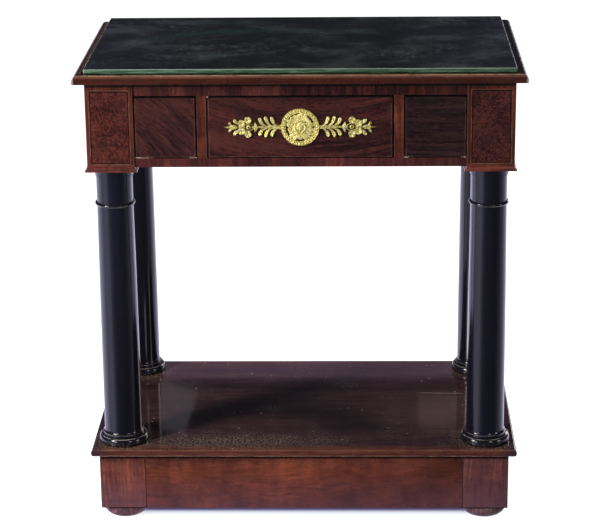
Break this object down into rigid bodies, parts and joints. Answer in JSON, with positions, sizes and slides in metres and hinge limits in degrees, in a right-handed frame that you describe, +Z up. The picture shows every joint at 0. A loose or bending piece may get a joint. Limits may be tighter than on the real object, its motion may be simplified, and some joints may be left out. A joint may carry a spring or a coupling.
{
  "type": "pier table",
  "caption": "Empire pier table in mahogany with frieze drawers, a gilt bronze mount, ebonised turned columns, a low shelf on a plinth, bun feet and a glass top.",
  "frame": {"origin": "on the floor under the middle of the table's plan", "axes": "+X to the right seen from the front, +Y to the wall behind, so the drawers open along -Y, +Z up"},
  "size_m": [0.8, 0.48, 0.863],
  "materials": {
    "figured_mahogany": "french polished plum-figured mahogany veneer",
    "mahogany": "french polished mahogany, worn at the edges",
    "dark_mahogany": "dark french polished mahogany",
    "ebonised_wood": "ebonised and polished",
    "carcase_wood": "planed secondary wood, aged",
    "gilt_bronze": "mercury gilt, matt and burnished",
    "clear_glass": "polished, faint green edge",
    "screw_steel": "dull"
  },
  "bodies": {
    "carcase": {"back_rail": "carcase_wood", "block_mouldings": "mahogany", "bun_foot_front_left": "dark_mahogany", "bun_foot_front_right": "dark_mahogany", "bun_foot_rear_left": "dark_mahogany", "bun_foot_rear_right": "dark_mahogany", "column_front_left": "ebonised_wood", "column_front_right": "ebonised_wood", "column_rear_left": "ebonised_wood", "column_rear_right": "ebonised_wood", "corner_block_front_left": "figured_mahogany", "corner_block_front_right": "figured_mahogany", "corner_block_rear_left": "figured_mahogany", "corner_block_rear_right": "figured_mahogany", "divider_left": "figured_mahogany", "divider_right": "figured_mahogany", "drawer_guides": "carcase_wood", "drawer_kickers": "carcase_wood", "drawer_partitions": "carcase_wood", "drawer_runners": "carcase_wood", "drawer_stops": "carcase_wood", "frieze_bottom_rail": "mahogany", "frieze_top_rail": "mahogany", "glass_plate": "clear_glass", "glue_blocks": "carcase_wood", "plinth_block_front_left": "mahogany", "plinth_block_front_right": "mahogany", "plinth_block_rear_left": "mahogany", "plinth_block_rear_right": "mahogany", "plinth_front_rail": "mahogany", "plinth_rear_rail": "carcase_wood", "plinth_side_rail_left": "mahogany", "plinth_side_rail_right": "mahogany", "shelf_board": "mahogany", "side_rail_left": "mahogany", "side_rail_right": "mahogany", "top_edge_front": "mahogany", "top_edge_left": "mahogany", "top_edge_right": "mahogany", "top_panel": "mahogany", "top_screws": "screw_steel"},
    "left_drawer": {"drawer_left_back": "carcase_wood", "drawer_left_bottom": "carcase_wood", "drawer_left_front": "dark_mahogany", "drawer_left_side_left": "carcase_wood", "drawer_left_side_right": "carcase_wood"},
    "centre_drawer": {"drawer_centre_back": "carcase_wood", "drawer_centre_bottom": "carcase_wood", "drawer_centre_front": "dark_mahogany", "drawer_centre_side_left": "carcase_wood", "drawer_centre_side_right": "carcase_wood", "gilt_roundel": "gilt_bronze", "gilt_spray_left": "gilt_bronze", "gilt_spray_right": "gilt_bronze", "mount_pins": "gilt_bronze"},
    "right_drawer": {"drawer_right_back": "carcase_wood", "drawer_right_bottom": "carcase_wood", "drawer_right_front": "dark_mahogany", "drawer_right_side_left": "carcase_wood", "drawer_right_side_right": "carcase_wood"}
  },
  "joints": [
    {"name": "left_drawer_slide", "type": "slide", "parent": "carcase", "child": "left_drawer", "axis": [0, -1, 0], "range_m": [0, 0.3]},
    {"name": "centre_drawer_slide", "type": "slide", "parent": "carcase", "child": "centre_drawer", "axis": [0, -1, 0], "range_m": [0, 0.3]},
    {"name": "right_drawer_slide", "type": "slide", "parent": "carcase", "child": "right_drawer", "axis": [0, -1, 0], "range_m": [0, 0.3]}
  ]
}
